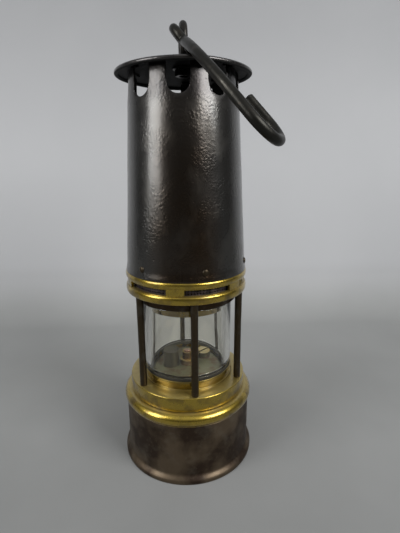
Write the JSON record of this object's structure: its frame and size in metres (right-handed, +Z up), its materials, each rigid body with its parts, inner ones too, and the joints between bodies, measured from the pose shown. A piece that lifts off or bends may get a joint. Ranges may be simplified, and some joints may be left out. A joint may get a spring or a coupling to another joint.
{
  "type": "miners safety lamp",
  "caption": "Miner's flame safety lamp with fuel vessel, brass rings, glass, gauzes, slotted steel bonnet, cap, swivel and carrying hook.",
  "frame": {"origin": "on the axis of the lamp, in the plane of the foot rim that it stands on", "axes": "+Z up along the lamp's axis, -Y towards the viewer, +X to the viewer's right"},
  "size_m": [0.0898, 0.12, 0.2693],
  "materials": {
    "base_steel": "dark aged steel with worn edges",
    "bonnet_steel": "dark heat-stained steel, satin and pitted",
    "plain_steel": "plain steel",
    "dark_iron": "dark worn iron",
    "brass": "satin aged brass",
    "gold_brass": "brighter brass",
    "copper_brass": "red brass",
    "deck_metal": "dull greenish grey",
    "lamp_glass": "thick clear glass",
    "gauze": "woven or perforated metal",
    "gasket": "dark fibre",
    "leather": "oiled leather",
    "cotton": "cotton"
  },
  "bodies": {
    "vessel": {"vessel_shell": "base_steel", "vessel_bottom": "base_steel", "vessel_collar": "brass", "burner_deck": "deck_metal", "cotton_wadding": "cotton", "wick_tube": "copper_brass", "relighter_housing": "deck_metal", "striker_tube": "copper_brass"},
    "wick_key": {"wick_spindle": "plain_steel", "wick_knob": "brass"},
    "wick_slide": {"wick": "cotton", "wick_carrier": "brass"},
    "striker": {"striker_spindle": "plain_steel", "striker_knob": "brass"},
    "plug_washer": {"filler_washer": "leather"},
    "plug": {"filler_plug": "brass"},
    "cage_gasket": {"vessel_gasket": "leather"},
    "cage": {"lower_ring": "brass", "seat_ring": "gold_brass", "lower_gasket": "gasket", "glass": "lamp_glass", "upper_gasket": "gasket", "gauze_ring": "gold_brass", "gauze_flange": "dark_iron", "inner_gauze": "gauze", "outer_gauze": "gauze", "pillar_1": "dark_iron", "pillar_2": "dark_iron", "pillar_3": "dark_iron", "pillar_4": "dark_iron", "pillar_5": "dark_iron", "pillar_6": "dark_iron", "upper_ring": "brass", "inlet_ring": "gauze", "bonnet": "bonnet_steel", "bonnet_rivets": "dark_iron", "cap": "bonnet_steel", "swivel_washer": "plain_steel"},
    "swivel": {"swivel": "dark_iron", "swivel_nut": "plain_steel"},
    "hook": {"hook": "dark_iron"}
  },
  "joints": [
    {"name": "wick_turn", "type": "hinge", "parent": "vessel", "child": "wick_key", "pos_m": [0, 0, 0.004], "axis": [0, 0, 1], "range_deg": [-361, 721]},
    {"name": "wick_raise", "type": "slide", "parent": "vessel", "child": "wick_slide", "axis": [0, 0, 1], "range_m": [-0.003, 0.006]},
    {"name": "striker_turn", "type": "hinge", "parent": "vessel", "child": "striker", "pos_m": [-0.01083, -0.00191, 0.004], "axis": [0, 0, 1], "continuous": true},
    {"name": "plug_lift", "type": "slide", "parent": "vessel", "child": "plug_washer", "axis": [0, 0, 1], "range_m": [0, 0.006]},
    {"name": "plug_turn", "type": "hinge", "parent": "plug_washer", "child": "plug", "pos_m": [0.01143, 0.00893, 0.064], "axis": [0, 0, 1], "range_deg": [0, 1441]},
    {"name": "cage_lift", "type": "slide", "parent": "vessel", "child": "cage_gasket", "axis": [0, 0, 1], "range_m": [0, 0.006]},
    {"name": "cage_turn", "type": "hinge", "parent": "cage_gasket", "child": "cage", "pos_m": [0, 0, 0.05], "axis": [0, 0, 1], "range_deg": [0, 721]},
    {"name": "swivel_turn", "type": "hinge", "parent": "cage", "child": "swivel", "pos_m": [0, 0, 0.2472], "axis": [0, 0, 1], "continuous": true},
    {"name": "hook_swing", "type": "hinge", "parent": "swivel", "child": "hook", "pos_m": [0, 0, 0.25921], "axis": [-0.9971, -0.0767, 0], "range_deg": [0, 210]}
  ],
  "couplings": [
    {"joint": "wick_turn", "follows": "wick_raise", "rad_per_m": 2094.4},
    {"joint": "plug_turn", "follows": "plug_lift", "rad_per_m": 4188.8},
    {"joint": "cage_turn", "follows": "cage_lift", "rad_per_m": 2094.4}
  ]
}
